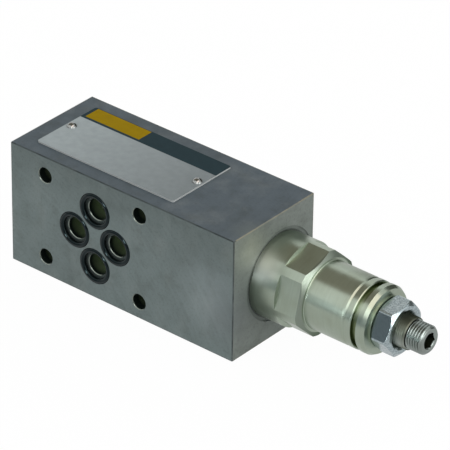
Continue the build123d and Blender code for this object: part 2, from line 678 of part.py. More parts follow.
def pieces():
    """Every separate piece of the valve, under its own name."""
    named = {
        "valve_body": valve_body(),
        "nameplate": nameplate(),
        "adjuster_cap": adjuster_cap(),
        "cap_seal": cap_seal(),
        "cartridge_sleeve": cartridge_sleeve(),
        "sleeve_seal": sleeve_seal(),
        "sleeve_backup_ring_inner": backup_ring(-1),
        "sleeve_backup_ring_outer": backup_ring(1),
        "valve_seat": valve_seat(),
        "poppet": poppet(),
        "front_spring_guide": front_spring_guide(),
        "pressure_spring": pressure_spring(),
        "adjusting_piston": adjusting_piston(),
        "piston_seal": piston_seal(),
        "adjusting_screw": adjusting_screw(),
        "lock_nut": lock_nut(),
    }
    for name in PORTS:
        named[f"port_seal_{name}"] = port_seal(name)
    for side in pin_places():
        named[f"nameplate_pin_{side}"] = nameplate_pin(side)
    return named


os.makedirs("parts", exist_ok=True)
for name, piece in pieces().items():
    export_step(piece, f"parts/{name}.step")
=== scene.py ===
import math

import bpy
from mathutils import Euler, Matrix, Vector


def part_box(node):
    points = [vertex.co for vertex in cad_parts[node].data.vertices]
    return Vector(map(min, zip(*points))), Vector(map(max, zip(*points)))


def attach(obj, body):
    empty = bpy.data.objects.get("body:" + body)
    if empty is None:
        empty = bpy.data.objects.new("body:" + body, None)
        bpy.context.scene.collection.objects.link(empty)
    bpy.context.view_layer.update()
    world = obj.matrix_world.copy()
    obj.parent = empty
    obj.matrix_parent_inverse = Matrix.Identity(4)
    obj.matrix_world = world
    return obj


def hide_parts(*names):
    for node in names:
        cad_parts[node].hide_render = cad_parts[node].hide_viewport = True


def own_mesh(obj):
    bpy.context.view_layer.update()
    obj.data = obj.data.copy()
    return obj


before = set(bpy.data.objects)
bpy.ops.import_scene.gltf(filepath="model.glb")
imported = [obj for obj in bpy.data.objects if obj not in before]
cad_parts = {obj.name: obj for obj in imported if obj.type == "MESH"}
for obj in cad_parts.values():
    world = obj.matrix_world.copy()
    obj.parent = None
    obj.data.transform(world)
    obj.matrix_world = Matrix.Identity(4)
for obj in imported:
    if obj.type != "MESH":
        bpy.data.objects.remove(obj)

bl_info = {
    "name": "Sandwich valve finish",
    "version": (1, 0, 0),
    "blender": (4, 5, 0),
    "location": "3D View > Sidebar > Valve",
    "description": "Dresses the stacking relief valve: threads, broken edges, print, finishes and studio",
    "category": "Object",
}


def mm(length):
    """A length in millimetres as Blender's metres."""
    return length / 1000


# Places that the valve's own pieces give, in metres
BLOCK_LOW, BLOCK_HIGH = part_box("valve_body")
PLATE_LOW, PLATE_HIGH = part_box("nameplate")
CAP_LOW, CAP_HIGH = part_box("adjuster_cap")
SCREW_LOW, SCREW_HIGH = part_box("adjusting_screw")
AXIS_Y = (SCREW_LOW.y + SCREW_HIGH.y) / 2
AXIS_Z = (SCREW_LOW.z + SCREW_HIGH.z) / 2
SCREW_RADIUS = (SCREW_HIGH.y - SCREW_LOW.y) / 2
PORT_SEALS = ("port_seal_p", "port_seal_t", "port_seal_a", "port_seal_b")
SEALS = PORT_SEALS + ("cap_seal", "sleeve_seal", "piston_seal")
GROUND_PIECES = ("cartridge_sleeve", "valve_seat", "poppet", "front_spring_guide", "adjusting_piston")
BACKUP_RINGS = ("sleeve_backup_ring_inner", "sleeve_backup_ring_outer")

# Points closer than this are one, faces closer in angle are one flat, and sharper edges are broken
MERGE_DISTANCE = mm(0.0005)
FLAT_ANGLE = math.radians(0.4)
SHARP_ANGLE = math.radians(14)
# A hole's mouth lies no deeper than this, and its facets are shorter than those of the seals' pockets
MOUTH_DEPTH = mm(1.5)
MOUTH_STEP = mm(0.65)
# Turns of a thread beyond each end of its rod, which is then cut, and its root's share of a flank
SPARE_TURNS = 2
ROOT_SHARE = 0.4
SOCKET_CORNERS = 6
WHITE = (1.0, 1.0, 1.0, 1.0)
# Most of a noise's values lie between these
NOISE_SPAN = (0.3, 0.7)


def linear(hex_colour):
    """An sRGB colour such as "8c9496" as linear red, green, blue and alpha."""
    parts = [int(hex_colour[place : place + 2], 16) / 255 for place in (0, 2, 4)]
    return tuple(p / 12.92 if p <= 0.04045 else ((p + 0.055) / 1.055) ** 2.4 for p in parts) + (1.0,)


def length_value(name, description, default_mm):
    """A length that a user may change."""
    return bpy.props.FloatProperty(
        name=name, description=description, default=mm(default_mm), min=0.0, unit="LENGTH", precision=5
    )


def angle_value(name, description, default_deg):
    """An angle that a user may change."""
    return bpy.props.FloatProperty(
        name=name, description=description, default=math.radians(default_deg), subtype="ANGLE"
    )


def colour_value(name, description, hex_colour):
    """A colour that a user may change."""
    return bpy.props.FloatVectorProperty(
        name=name,
        description=description,
        default=linear(hex_colour),
        size=4,
        min=0.0,
        max=1.0,
        subtype="COLOR",
    )


class ValveScrewSizes(bpy.types.PropertyGroup):
    """Sizes of the adjusting screw, measured back from its outer end"""

    front_major: length_value("Front thread diameter", "Over the crests of the front thread", 9.9)
    front_length: length_value("Front length", "Front thread with its chamfer", 5.75)
    front_chamfer: length_value("Front chamfer", "Height of the chamfer at the outer end", 0.75)
    front_depth: length_value("Front thread depth", "From crest to root", 0.5)
    neck_diameter: length_value("Neck diameter", "Undercut between the two threads", 8.7)
    neck_length: length_value("Neck length", "Undercut between the two threads", 0.4)
    shoulder_chamfer: length_value("Shoulder chamfer", "At the end of the rear thread", 0.35)
    rear_depth: length_value("Rear thread depth", "From crest to root, with worn crests", 0.05)
    rear_length: length_value("Rear thread length", "What shows of it and what the nut takes", 11.0)
    pitch: length_value("Pitch", "Of the front thread", 1.0)
    rear_pitch: length_value("Rear pitch", "Of the fine rear thread", 0.75)
    tip_diameter: length_value("Tip diameter", "Where the screw meets the piston", 9.0)
    tip_length: length_value("Tip length", "Where the screw meets the piston", 2.0)
    socket_width: length_value("Socket width", "Across the flats of the hexagon socket", 5.0)
    socket_depth: length_value("Socket depth", "Down to the drill point", 5.5)
    socket_chamfer: length_value("Socket chamfer", "At the mouth of the socket", 0.3)
    socket_angle: angle_value("Socket angle", "Turn of the socket's corners about the axis", 15)
    segments: bpy.props.IntProperty(
        name="Segments", description="Faces in one turn of a thread", default=96, min=24, max=256
    )


class ValveEdgeSizes(bpy.types.PropertyGroup):
    """How far the edges of the machined pieces are broken"""

    cap: length_value("Cap edges", "Turned edges of the adjuster cap", 0.14)
    nut: length_value("Nut edges", "Forged edges of the lock nut", 0.22)
    mouth: length_value("Hole mouths", "Chamfers of the block's bolt holes and ports", 0.2)


class ValveSpringSizes(bpy.types.PropertyGroup):
    """How far the pieces at its ends press the spring together"""

    poppet_lift: length_value("Poppet lift", "Travel of the front spring guide", 2.0)
    piston_travel: length_value("Piston travel", "Travel of the adjusting piston", 6.0)


class ValvePrintSizes(bpy.types.PropertyGroup):
    """The print on the nameplate, measured in from the plate's edges"""

    band_width: length_value("Band width", "Dark band along the plate's rear edge", 7.85)
    field_left: length_value("Field margin", "Dark margin left of the yellow field", 1.3)
    field_length: length_value("Field length", "Yellow field along the plate", 23.3)
    field_front: length_value("Field line", "Dark line in front of the yellow field", 1.1)
    field_rear: length_value("Field rear line", "Dark line behind the yellow field", 0.25)


class ValveColours(bpy.types.PropertyGroup):
    """Colours of the finishes"""

    # The block's three colours are one steel: the top and bottom colour is darker as painted shade, and the
    # ends' colour is warmer as painted light
    front_steel: colour_value("Block, long faces", "Milled faces of the block", "798584")
    top_steel: colour_value("Block, top and bottom", "Milled faces of the block", "59646b")
    end_steel: colour_value("Block, ends", "Sawn and milled end faces", "7b827d")
    # The bores' olive is lightened as painted light, for the light that reaches deep inside
    bore_steel: colour_value("Block, bores", "Oiled bores and pockets", "9cb088")
    rubber: colour_value("Seal rubber", "O-rings", "060c0d")
    lacquer: colour_value("Plate", "Bare satin field of the nameplate", "949c9d")
    band: colour_value("Plate band", "Dark print on the nameplate", "28393e")
    field: colour_value("Plate field", "Yellow print on the nameplate", "957a00")
    bright_steel: colour_value("Bright steel", "Drive pins", "a6a9a7")
    screw_steel: colour_value("Screw steel", "Adjusting screw", "949d99")
    yellow_zinc: colour_value("Yellow zinc", "Adjuster cap", "a8b4a5")
    blue_zinc: colour_value("Blue zinc", "Lock nut", "bcc8ca")
    hardened: colour_value("Hardened steel", "Inner turned pieces", "8d8f8e")
    spring: colour_value("Spring wire", "Pressure spring", "6b6a66")
    ring_plastic: colour_value("Ring plastic", "Back-up rings", "e4e0d2")


class ValveStudio(bpy.types.PropertyGroup):
    """Camera, floor and light"""

    azimuth: angle_value("Azimuth", "Camera's turn about the vertical", 39.549)
    elevation: angle_value("Elevation", "Camera's height above the horizon", 31.384)
    roll: angle_value("Roll", "Camera's turn about its own axis", 0.853)
    distance: length_value("Distance", "From the camera to its target", 1276.5)
    lens: bpy.props.FloatProperty(name="Lens", description="Millimetres on a 36 mm sensor", default=318.341)
    target: bpy.props.FloatVectorProperty(
        name="Target",
        description="Place that the camera looks at",
        default=(mm(39.138), mm(20.299), mm(11.198)),
        size=3,
        unit="LENGTH",
        precision=5,
    )
    floor_radius: length_value("Floor radius", "White disc that the valve stands on", 260.0)
    front_power: bpy.props.FloatProperty(name="Front light", description="Watts", default=3.95)
    side_power: bpy.props.FloatProperty(name="Side light", description="Watts", default=4.0)
    rear_power: bpy.props.FloatProperty(name="Rear light", description="Watts", default=3.0)


def settings():
    """The sizes and colours that a user may change."""
    return bpy.context.scene.sandwich_valve


def deselect_all():
    bpy.ops.object.select_all(action="DESELECT")
    bpy.context.view_layer.objects.active = None


def make_active(piece):
    deselect_all()
    piece.select_set(True)
    bpy.context.view_layer.objects.active = piece


def edit_all(piece):
    """Opens a piece for editing, with all of it selected."""
    make_active(piece)
    bpy.ops.object.mode_set(mode="EDIT")
    bpy.ops.mesh.select_all(action="SELECT")


def settle(piece, name):
    """Names a piece and moves its place into its mesh, so that its object sits at the origin."""
    piece.name = name
    piece.data.name = name
    make_active(piece)
    bpy.ops.object.transform_apply(location=True, rotation=True, scale=True)


def close_seams(piece, distance=MERGE_DISTANCE):
    """Merges doubles and turns every face outwards."""
    edit_all(piece)
    bpy.ops.mesh.remove_doubles(threshold=distance)
    bpy.ops.mesh.normals_make_consistent(inside=False)
    bpy.ops.object.mode_set(mode="OBJECT")


def turned_piece(name, profile):
    """A solid on the cartridge's axis: a disc, extruded and resized from place to place.

    The profile is a list of (place along X, radius), from end to end.
    """
    place, radius = profile[0]
    deselect_all()
    bpy.ops.mesh.primitive_circle_add(
        vertices=settings().screw.segments,
        radius=radius,
        fill_type="NGON",
        location=(place, AXIS_Y, AXIS_Z),
        rotation=(0, math.pi / 2, 0),
    )
    piece = bpy.context.view_layer.objects.active
    settle(piece, name)
    edit_all(piece)
    for next_place, next_radius in profile[1:]:
        bpy.ops.mesh.extrude_region_move(TRANSFORM_OT_translate={"value": (next_place - place, 0, 0)})
        factor = next_radius / radius
        bpy.ops.transform.resize(value=(1, factor, factor), center_override=(next_place, AXIS_Y, AXIS_Z))
        place, radius = next_place, next_radius
    bpy.ops.object.mode_set(mode="OBJECT")
    close_seams(piece)
    return piece


def combine(piece, other, operation):
    """Cuts, joins or intersects the piece with another one, which is used up."""
    make_active(piece)
    modifier = piece.modifiers.new("shape", "BOOLEAN")
    modifier.operation = operation
    modifier.solver = "EXACT"
    modifier.object = other
    bpy.ops.object.modifier_apply(modifier=modifier.name)
    bpy.data.objects.remove(other)


def cut_square(piece, place, keeps_beyond):
    """Cuts a piece square across the cartridge's axis and closes the cut."""
    edit_all(piece)
    bpy.ops.mesh.bisect(
        plane_co=(place, AXIS_Y, AXIS_Z),
        plane_no=(1, 0, 0),
        use_fill=True,
        clear_inner=keeps_beyond,
        clear_outer=not keeps_beyond,
        threshold=MERGE_DISTANCE,
    )
    bpy.ops.object.mode_set(mode="OBJECT")


def threaded_rod(name, start, end, crest_radius, depth, pitch, crest_share):
    """A right-hand thread on the cartridge's axis, cut off square at both ends."""
    first = start - SPARE_TURNS * pitch
    turns = math.ceil((end - first) / pitch) + SPARE_TURNS
    root_radius = crest_radius - depth
    flank = pitch * (1 - crest_share) / (2 + ROOT_SHARE)
    root = pitch - flank * 2 - pitch * crest_share
    steps = ((root, 0), (flank, depth), (pitch * crest_share, 0), (flank, -depth))
    deselect_all()
    bpy.ops.mesh.primitive_plane_add(size=pitch, location=(first, AXIS_Y, AXIS_Z))
    rod = bpy.context.view_layer.objects.active
    edit_all(rod)
    bpy.ops.mesh.merge(type="CENTER")
    bpy.ops.transform.translate(value=(0, root_radius, 0))
    for along, out in steps:
        bpy.ops.mesh.extrude_region_move(TRANSFORM_OT_translate={"value": (along, out, 0)})
    bpy.ops.object.mode_set(mode="OBJECT")
    screw = rod.modifiers.new("thread", "SCREW")
    screw.axis = "X"
    screw.angle = 2 * math.pi
    screw.screw_offset = pitch
    screw.iterations = turns
    screw.steps = settings().screw.segments
    bpy.ops.object.modifier_apply(modifier=screw.name)
    settle(rod, name)
    close_seams(rod)
    cut_square(rod, start, True)
    cut_square(rod, end, False)
    close_seams(rod, MERGE_DISTANCE / 2)
    return rod


def reworked_copy(node, name, body):
    """A merged copy of a machined piece with its flat faces whole again, which takes its place."""
    piece = bpy.data.objects.new(name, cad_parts[node].data.copy())
    bpy.context.scene.collection.objects.link(piece)
    settle(piece, name)
    bpy.ops.mesh.customdata_custom_splitnormals_clear()
    edit_all(piece)
    bpy.ops.mesh.remove_doubles(threshold=MERGE_DISTANCE)
    bpy.ops.mesh.dissolve_limited(angle_limit=FLAT_ANGLE)
    bpy.ops.object.mode_set(mode="OBJECT")
    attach(piece, body)
    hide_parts(node)
    return piece


def break_edges(piece, width):
    """Rounds every sharp edge of a piece a little, as tumbling and plating leave them."""
    make_active(piece)
    bpy.ops.object.shade_smooth()
    bevel = piece.modifiers.new("broken_edges", "BEVEL")
    bevel.limit_method = "ANGLE"
    bevel.angle_limit = SHARP_ANGLE
    bevel.width = width
    bevel.segments = 2
    bevel.harden_normals = True
    bpy.ops.object.modifier_apply(modifier=bevel.name)
    deselect_all()


def chamfer_mouths(piece, width):
    """Chamfers the round mouths that open on the seal face or on the floor of a seal's pocket."""
    make_active(piece)
    bpy.ops.object.mode_set(mode="EDIT")
    bpy.ops.mesh.select_mode(type="EDGE")
    bpy.ops.mesh.select_all(action="DESELECT")
    bpy.ops.object.mode_set(mode="OBJECT")
    for edge in piece.data.edges:
        start, end = (piece.data.vertices[index].co for index in edge.vertices)
        level = abs(start.y - end.y) < MERGE_DISTANCE
        edge.select = level and start.y < MOUTH_DEPTH and (start - end).length < MOUTH_STEP
    bpy.ops.object.mode_set(mode="EDIT")
    bpy.ops.mesh.bevel(offset=width, segments=1, affect="EDGES", clamp_overlap=False)
    bpy.ops.mesh.select_mode(type="VERT")
    bpy.ops.object.mode_set(mode="OBJECT")


def shade(piece, angle_deg):
    make_active(piece)
    bpy.ops.object.shade_smooth_by_angle(angle=math.radians(angle_deg))
    deselect_all()


def dress(piece, material):
    """Gives a piece its one material."""
    piece.data.materials.clear()
    piece.data.materials.append(material)


def add_node(tree, kind, inputs=None, **values):
    """Adds a shader node with its settings. An input is a value, or a node or socket to link."""
    node = tree.nodes.new("ShaderNode" + kind)
    for name, value in values.items():
        setattr(node, name, value)
    sockets = [socket for socket in node.inputs if socket.enabled]
    for key, value in (inputs or {}).items():
        socket = sockets[key] if isinstance(key, int) else next(s for s in sockets if s.name == key)
        if isinstance(value, bpy.types.Node):
            value = next(output for output in value.outputs if output.enabled)
        if isinstance(value, bpy.types.NodeSocket):
            tree.links.new(value, socket)
        else:
            socket.default_value = value
    return node


def bare_tree(owner):
    """The shader tree of a material or of the world, emptied."""
    owner.use_nodes = True
    owner.node_tree.nodes.clear()
    return owner.node_tree


def new_material(name):
    """A material with its tree and the place of each point on the piece."""
    material = bpy.data.materials.new(name)
    tree = bare_tree(material)
    return material, tree, add_node(tree, "TexCoord").outputs["Object"]


def completed(material, look):
    """The material with its shader, whose inputs make the look."""
    tree = material.node_tree
    shader = add_node(tree, "BsdfPrincipled", look)
    add_node(tree, "OutputMaterial", {"Surface": shader})
    return material


def ramp(start, end, low=0.0, high=1.0):
    """What a MapRange node needs to go from low to high as its value goes from start to end."""
    return {"From Min": start, "From Max": end, "To Min": low, "To Max": high}


def patches(tree, place, size_mm, detail=3.0, stretch=(1.0, 1.0, 1.0)):
    """Soft patches about size_mm across, drawn out along an axis where stretch is small."""
    mapping = add_node(tree, "Mapping", {"Vector": place, "Scale": stretch})
    return add_node(
        tree, "TexNoise", {"Vector": mapping, "Scale": 1 / mm(size_mm), "Detail": detail, "Roughness": 0.55}
    )


def about_axis(tree, place):
    """From a point's place: the direction round the cartridge's axis, and its distance from it."""
    across = add_node(tree, "VectorMath", {0: place, 1: (0.0, AXIS_Y, AXIS_Z)}, operation="SUBTRACT")
    outward = add_node(tree, "VectorMath", {0: across, 1: (0.0, 1.0, 1.0)}, operation="MULTIPLY")
    cross = add_node(tree, "VectorMath", {0: (1.0, 0.0, 0.0), 1: outward}, operation="CROSS_PRODUCT")
    round_axis = add_node(tree, "VectorMath", {0: cross}, operation="NORMALIZE")
    distance = add_node(tree, "VectorMath", {0: outward}, operation="LENGTH")
    return round_axis, distance


def zone(tree, place, start, end, radius):
    """1 between two places along the cartridge's axis and nearer to it than the radius, 0 elsewhere."""
    along = add_node(tree, "SeparateXYZ", {"Vector": place}).outputs["X"]
    distance = about_axis(tree, place)[1]
    after = add_node(tree, "Math", {0: along, 1: start}, operation="GREATER_THAN")
    before = add_node(tree, "Math", {0: along, 1: end}, operation="LESS_THAN")
    here = add_node(tree, "Math", {0: after, 1: before}, operation="MULTIPLY")
    feather = mm(0.3)
    near = add_node(tree, "MapRange", {"Value": distance, **ramp(radius, radius + feather, 1.0, 0.0)})
    return add_node(tree, "Math", {0: here, 1: near}, operation="MULTIPLY")


def spot(tree, place, centre, reach, strength):
    """The strength at a place, fading to 0 at the reach from it."""
    away = add_node(tree, "VectorMath", {0: place, 1: centre}, operation="DISTANCE")
    fading = {"Value": away, **ramp(0.0, reach, strength, 0.0)}
    return add_node(tree, "MapRange", fading, interpolation_type="SMOOTHSTEP")


def box_depths(tree, place, low, high):
    """How deep a point lies under the nearest face of a box, and under the second nearest."""
    centre = (low + high) / 2
    half = (high - low) / 2
    offset = add_node(tree, "VectorMath", {0: place, 1: centre}, operation="SUBTRACT")
    folded = add_node(tree, "VectorMath", {0: offset}, operation="ABSOLUTE")
    depth = add_node(tree, "VectorMath", {0: half, 1: folded}, operation="SUBTRACT")
    axes = add_node(tree, "SeparateXYZ", {"Vector": depth}).outputs
    least = add_node(tree, "Math", {0: axes["X"], 1: axes["Y"]}, operation="MINIMUM")
    most = add_node(tree, "Math", {0: axes["X"], 1: axes["Y"]}, operation="MAXIMUM")
    nearest = add_node(tree, "Math", {0: least, 1: axes["Z"]}, operation="MINIMUM")
    middle = add_node(tree, "Math", {0: most, 1: axes["Z"]}, operation="MINIMUM")
    second = add_node(tree, "Math", {0: least, 1: middle}, operation="MAXIMUM")
    return nearest, second


def milled_steel(colours):
    """Plain carbon steel, face milled and oiled: a dull satin grey with clouds, cutter arcs and wear, and
    painted light and shade.

    Its corners are broken by hand, and a dark hairline runs round the seal face and a tan one along the other
    corners. Its bores are an oily olive with painted shade at their mouths, and the corner round the cap and
    the floors of the seals' pockets are painted dark as shade.
    """
    material, tree, place = new_material("carbon_steel_milled_oiled")
    axes = add_node(tree, "SeparateXYZ", {"Vector": place}).outputs
    facing = add_node(tree, "TexCoord").outputs["Normal"]
    turned_to = add_node(tree, "SeparateXYZ", {"Vector": facing}).outputs
    colour = tuple(colours.front_steel)
    # Each face direction takes a colour of its own, which paints the light and shade falling on it: painted
    # shade darkens the top and bottom, painted light warms the ends
    for axis, face_colour in (("Z", tuple(colours.top_steel)), ("X", tuple(colours.end_steel))):
        facing_it = add_node(tree, "Math", {0: turned_to[axis]}, operation="ABSOLUTE")
        share = add_node(tree, "MapRange", {"Value": facing_it, **ramp(0.6, 0.9)})
        colour = add_node(tree, "Mix", {"Factor": share, "A": colour, "B": face_colour}, data_type="RGBA")

    # Stains of handling and cutting oil, dark ones and pale ones, from broad clouds to specks
    clouds = patches(tree, place, 24, detail=5)
    stains = patches(tree, place, 6, detail=6)
    specks = patches(tree, place, 0.8, detail=2)
    rubs_and_sheen = patches(tree, place, 9, detail=4, stretch=(1.0, 1.0, 0.55))
    # Painted shade on the end face, painted light on it beside the cap's collar, and painted light on the
    # seal face near the end
    end, front = BLOCK_HIGH.x, BLOCK_LOW.y
    painted_shade_end = spot(tree, place, (end, front + mm(2), mm(-6)), mm(17), 1.0)
    painted_light_end = spot(tree, place, (end, front + mm(8), mm(16)), mm(11), 1.0)
    painted_light_front = spot(tree, place, (end - mm(9), front, mm(-3)), mm(20), 1.0)
    # Each wash: its pattern, the pattern's values from nothing to full, its strength and its colour
    washes = (
        (clouds, 0.45, 0.66, 0.17, "4d5350"),
        (stains, 0.5, 0.72, 0.2, "4b4f49"),
        (rubs_and_sheen, 0.5, 0.75, 0.16, "a3a8a4"),
        (specks, 0.52, 0.72, 0.26, "454b4a"),
        (painted_shade_end, 0.0, 1.0, 0.5, "434848"),
        (painted_light_end, 0.0, 1.0, 0.3, "a9af9a"),
        (painted_light_front, 0.0, 1.0, 0.3, "a2acae"),
    )
    for pattern, low, high, strength, stain in washes:
        share = add_node(tree, "MapRange", {"Value": pattern, **ramp(low, high, 0.0, strength)})
        colour = add_node(tree, "Mix", {"Factor": share, "A": colour, "B": linear(stain)}, data_type="RGBA")

    # Painted shade: the long faces darken a little towards their upper edge
    facing_front = add_node(tree, "Math", {0: turned_to["Y"]}, operation="ABSOLUTE")
    upper = add_node(tree, "MapRange", {"Value": axes["Z"], **ramp(mm(5), mm(21), 0.0, 0.3)})
    upper = add_node(tree, "Math", {0: upper, 1: facing_front}, operation="MULTIPLY")
    colour = add_node(tree, "Mix", {"Factor": upper, "A": colour, "B": linear("4d5553")}, data_type="RGBA")

    # Arcs of the face mill, coarser than real ones so that they show
    arc_centre = (BLOCK_LOW.x - mm(30), 0.0, BLOCK_LOW.z - mm(60))
    arc_spacing = mm(1.4)
    spread = add_node(tree, "VectorMath", {0: place, 1: arc_centre}, operation="DISTANCE")
    arcs = add_node(
        tree, "TexNoise", {"W": spread, "Scale": 1 / arc_spacing, "Detail": 2.0}, noise_dimensions="1D"
    )
    tone = add_node(tree, "MapRange", {"Value": arcs, **ramp(*NOISE_SPAN, 0.97, 1.03)})
    colour = add_node(tree, "VectorMath", {0: colour, "Scale": tone}, operation="SCALE")

    # Drawn along the corners: a dark hairline round the seal face, and a tan one elsewhere, in patches
    nearest, second = box_depths(tree, place, BLOCK_LOW, BLOCK_HIGH)
    along_y = add_node(tree, "MapRange", {"Value": axes["Y"], **ramp(mm(0.6), mm(1.4))})
    line_colour = add_node(
        tree, "Mix", {"Factor": along_y, "A": linear("262c2c"), "B": linear("8a8674")}, data_type="RGBA"
    )
    patchy = add_node(tree, "MapRange", {"Value": stains, **ramp(0.35, 0.6, 0.9, 0.45)})
    hairline = add_node(tree, "MapRange", {"Value": second, **ramp(mm(0.2), mm(0.45), 1.0, 0.0)})
    hairline = add_node(tree, "Math", {0: hairline, 1: patchy}, operation="MULTIPLY")

    # Painted shade in the corner between the cap's collar and its spotface
    ring = zone(tree, place, BLOCK_HIGH.x - mm(1), BLOCK_HIGH.x + mm(1), mm(15.1))
    ring = add_node(tree, "Math", {0: ring, 1: 0.6}, operation="MULTIPLY")

    # Painted shade on the floors of the seals' pockets and on all that lies deeper
    pocket = add_node(tree, "MapRange", {"Value": nearest, **ramp(mm(1.0), mm(1.3), 0.0, 0.62)})

    # Fresh cut chamfers at the mouths of the holes, known by their tilt and away from the corners
    tilt, either_way = 0.66, 0.28
    tilted = add_node(tree, "Math", {0: facing_front, 1: tilt, 2: either_way}, operation="COMPARE")
    off_edge = add_node(tree, "MapRange", {"Value": second, **ramp(mm(0.8), mm(1.0))})
    mouth = add_node(tree, "Math", {0: tilted, 1: off_edge}, operation="MULTIPLY")

    # Walls of the bores: an oily olive, with painted shade that is black at their mouths and painted light
    # further in
    wall = add_node(tree, "MapRange", {"Value": facing_front, **ramp(0.3, 0.1)})
    under = add_node(tree, "MapRange", {"Value": nearest, **ramp(mm(0.3), mm(0.5))})
    wall = add_node(tree, "Math", {0: wall, 1: under}, operation="MULTIPLY")
    deep = add_node(tree, "MapRange", {"Value": nearest, **ramp(mm(1.7), mm(3.0))})
    inside = add_node(tree, "Math", {0: wall, 1: deep}, operation="MAXIMUM")
    further = add_node(tree, "MapRange", {"Value": nearest, **ramp(mm(2.6), mm(6.0))})
    olive = tuple(colours.bore_steel)
    bore = add_node(tree, "Mix", {"Factor": further, "A": linear("202c28"), "B": olive}, data_type="RGBA")

    # Each layer, from the lowest up: where it lies and its colour
    for share, layer in (
        (hairline, line_colour),
        (ring, linear("1f2624")),
        (pocket, linear("26302d")),
        (mouth, linear("868e86")),
        (inside, bore),
    ):
        colour = add_node(tree, "Mix", {"Factor": share, "A": colour, "B": layer}, data_type="RGBA")

    # The fresh chamfers are smoother and barer than the oiled faces
    roughness = add_node(tree, "MapRange", {"Value": stains, **ramp(*NOISE_SPAN, 0.48, 0.6)})
    polish = add_node(tree, "Math", {0: mouth, 1: -0.3, 2: roughness}, operation="MULTIPLY_ADD")
    bare = add_node(tree, "Math", {0: mouth, 1: 0.4, 2: 0.55}, operation="MULTIPLY_ADD")
    grain = add_node(tree, "Bump", {"Height": specks, "Distance": mm(0.012)})
    look = {
        "Base Color": colour,
        "Roughness": polish,
        "Metallic": add_node(tree, "Mix", {"Factor": inside, "A": bare, "B": 0.75}),
        "Specular IOR Level": 0.2,
        "Normal": add_node(tree, "Bump", {"Height": arcs, "Distance": mm(0.006), "Normal": grain}),
    }
    return completed(material, look)


def seal_rubber(colours):
    """Moulded nitrile rubber, wiped with oil: near black, with narrow sharp lights."""
    material, tree, place = new_material("nitrile_rubber_moulded")
    bloom = patches(tree, place, 1.5)
    black = tuple(colours.rubber)
    colour = add_node(tree, "Mix", {"Factor": bloom, "A": black, "B": linear("0c1416")}, data_type="RGBA")
    look = {
        "Base Color": colour,
        "Roughness": 0.08,
        "Specular IOR Level": 0.25,
        # A thin film of green oil tints what the rubber reflects
        "Specular Tint": (0.68, 0.96, 1.0, 1.0),
        "Normal": add_node(tree, "Bump", {"Height": bloom, "Distance": mm(0.003)}),
    }
    return completed(material, look)


def printed_plate(colours, sizes):
    """Satin aluminium sheet, screen printed: grey, with a dark band, a yellow field and bright edges."""
    material, tree, place = new_material("aluminium_satin_printed")
    axes = add_node(tree, "SeparateXYZ", {"Vector": place}).outputs
    band_start = PLATE_HIGH.y - sizes.band_width
    field_start = PLATE_LOW.x + sizes.field_left
    blur = mm(0.04)

    def beyond(axis, limit):
        """1 past a limit along an axis and 0 before it, with a printed edge's slight blur."""
        return add_node(tree, "MapRange", {"Value": axes[axis], **ramp(limit - blur, limit + blur)})

    # Painted light: the lacquer is paler at the left and darker towards the right end
    painted_falloff = add_node(tree, "MapRange", {"Value": axes["X"], **ramp(PLATE_LOW.x, PLATE_HIGH.x, 1.22, 0.74)})
    grey = tuple(colours.lacquer)[:3]
    lacquer = add_node(tree, "VectorMath", {0: grey, "Scale": painted_falloff}, operation="SCALE")
    # The yellow field's four edges, each with whether the field lies past it
    field_edges = (
        ("X", field_start, True),
        ("X", field_start + sizes.field_length, False),
        ("Y", band_start + sizes.field_front, True),
        ("Y", PLATE_HIGH.y - sizes.field_rear, False),
    )
    field = 1.0
    for axis, limit, past in field_edges:
        share = beyond(axis, limit)
        if not past:
            share = add_node(tree, "Math", {0: 1.0, 1: share}, operation="SUBTRACT")
        field = add_node(tree, "Math", {0: field, 1: share}, operation="MULTIPLY")

    mottle = patches(tree, place, 2.5, detail=4)
    tone = add_node(tree, "MapRange", {"Value": mottle, **ramp(*NOISE_SPAN, 0.93, 1.04)})
    colour = lacquer
    for share, ink in ((beyond("Y", band_start), tuple(colours.band)), (field, tuple(colours.field))):
        colour = add_node(tree, "Mix", {"Factor": share, "A": colour, "B": ink}, data_type="RGBA")
    colour = add_node(tree, "VectorMath", {0: colour, "Scale": tone}, operation="SCALE")

    # The print covers the flat face, and the cut edges are bare metal
    facing = add_node(tree, "SeparateXYZ", {"Vector": add_node(tree, "TexCoord").outputs["Normal"]})
    flat_on = add_node(tree, "MapRange", {"Value": facing.outputs["Z"], **ramp(0.4, 0.6)})
    colour = add_node(tree, "Mix", {"Factor": flat_on, "A": linear("c9cccb"), "B": colour}, data_type="RGBA")
    bare = add_node(tree, "Math", {0: 1.0, 1: flat_on}, operation="SUBTRACT")
    look = {
        "Base Color": colour,
        "Metallic": add_node(tree, "Math", {0: bare, 1: 0.5}, operation="MULTIPLY"),
        "Roughness": 0.55,
        "Specular IOR Level": 0.04,
        "Normal": add_node(tree, "Bump", {"Height": patches(tree, place, 0.7), "Distance": mm(0.004)}),
    }
    return completed(material, look)


